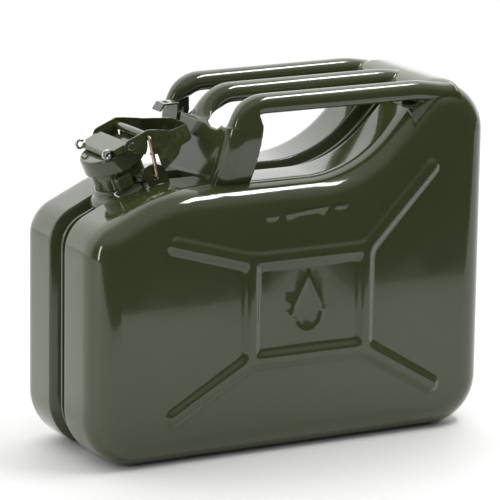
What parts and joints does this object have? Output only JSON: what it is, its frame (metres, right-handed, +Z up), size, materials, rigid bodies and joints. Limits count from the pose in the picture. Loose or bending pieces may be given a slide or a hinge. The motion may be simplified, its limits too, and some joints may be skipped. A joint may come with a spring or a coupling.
{
  "type": "fuel can",
  "caption": "Pressed steel fuel can with ribbed sides, recessed seam, triple-bar carrying handle, tilted spout neck and lever-locked cap on a wire bail.",
  "frame": {"origin": "middle of the base, on the surface the can stands on", "axes": "+X towards the hump behind the handle (the spout is at -X), +Y across the can, +Z up"},
  "size_m": [0.345, 0.1352, 0.28],
  "materials": {
    "olive_paint": "glossy olive enamel",
    "bare_steel": "satin plated steel",
    "copper_wire": "copper-washed steel wire",
    "rubber_seal": "matt"
  },
  "bodies": {
    "can": {"left_shell": "olive_paint", "right_shell": "olive_paint", "neck_tube": "olive_paint", "neck_collar": "olive_paint", "neck_stop_lug_left": "olive_paint", "neck_stop_lug_right": "olive_paint", "neck_hinge_ear_left": "olive_paint", "neck_hinge_ear_right": "olive_paint", "handle_front_plate": "olive_paint", "handle_rear_plate": "olive_paint", "handle_bar_left": "olive_paint", "handle_bar_centre": "olive_paint", "handle_bar_right": "olive_paint", "locking_tab": "olive_paint", "breather_tube": "bare_steel"},
    "bail": {"wire_bail": "copper_wire"},
    "cap_assembly": {"cap": "olive_paint", "cap_gasket": "rubber_seal", "cap_bracket": "olive_paint", "cross_tube": "olive_paint", "retaining_pin": "bare_steel", "lever_rivet_left": "olive_paint", "lever_rivet_right": "olive_paint"},
    "cam_lever": {"lever": "olive_paint"}
  },
  "joints": [
    {"name": "closure_swing", "type": "hinge", "parent": "can", "child": "bail", "pos_m": [-0.10237, 0, 0.21688], "axis": [0, 1, 0], "range_deg": [0, 35]},
    {"name": "cap_tilt", "type": "hinge", "parent": "bail", "child": "cap_assembly", "pos_m": [-0.10945, 0, 0.24907], "axis": [0, 1, 0], "range_deg": [0, 60.5]},
    {"name": "lever_lift", "type": "hinge", "parent": "cap_assembly", "child": "cam_lever", "pos_m": [-0.12356, 0, 0.24262], "axis": [0, 1, 0], "range_deg": [-165.5, 0]}
  ],
  "couplings": [
    {"joint": "cap_tilt", "follows": "closure_swing", "ratio": 1.7143},
    {"joint": "lever_lift", "follows": "closure_swing", "ratio": -4.7143}
  ]
}
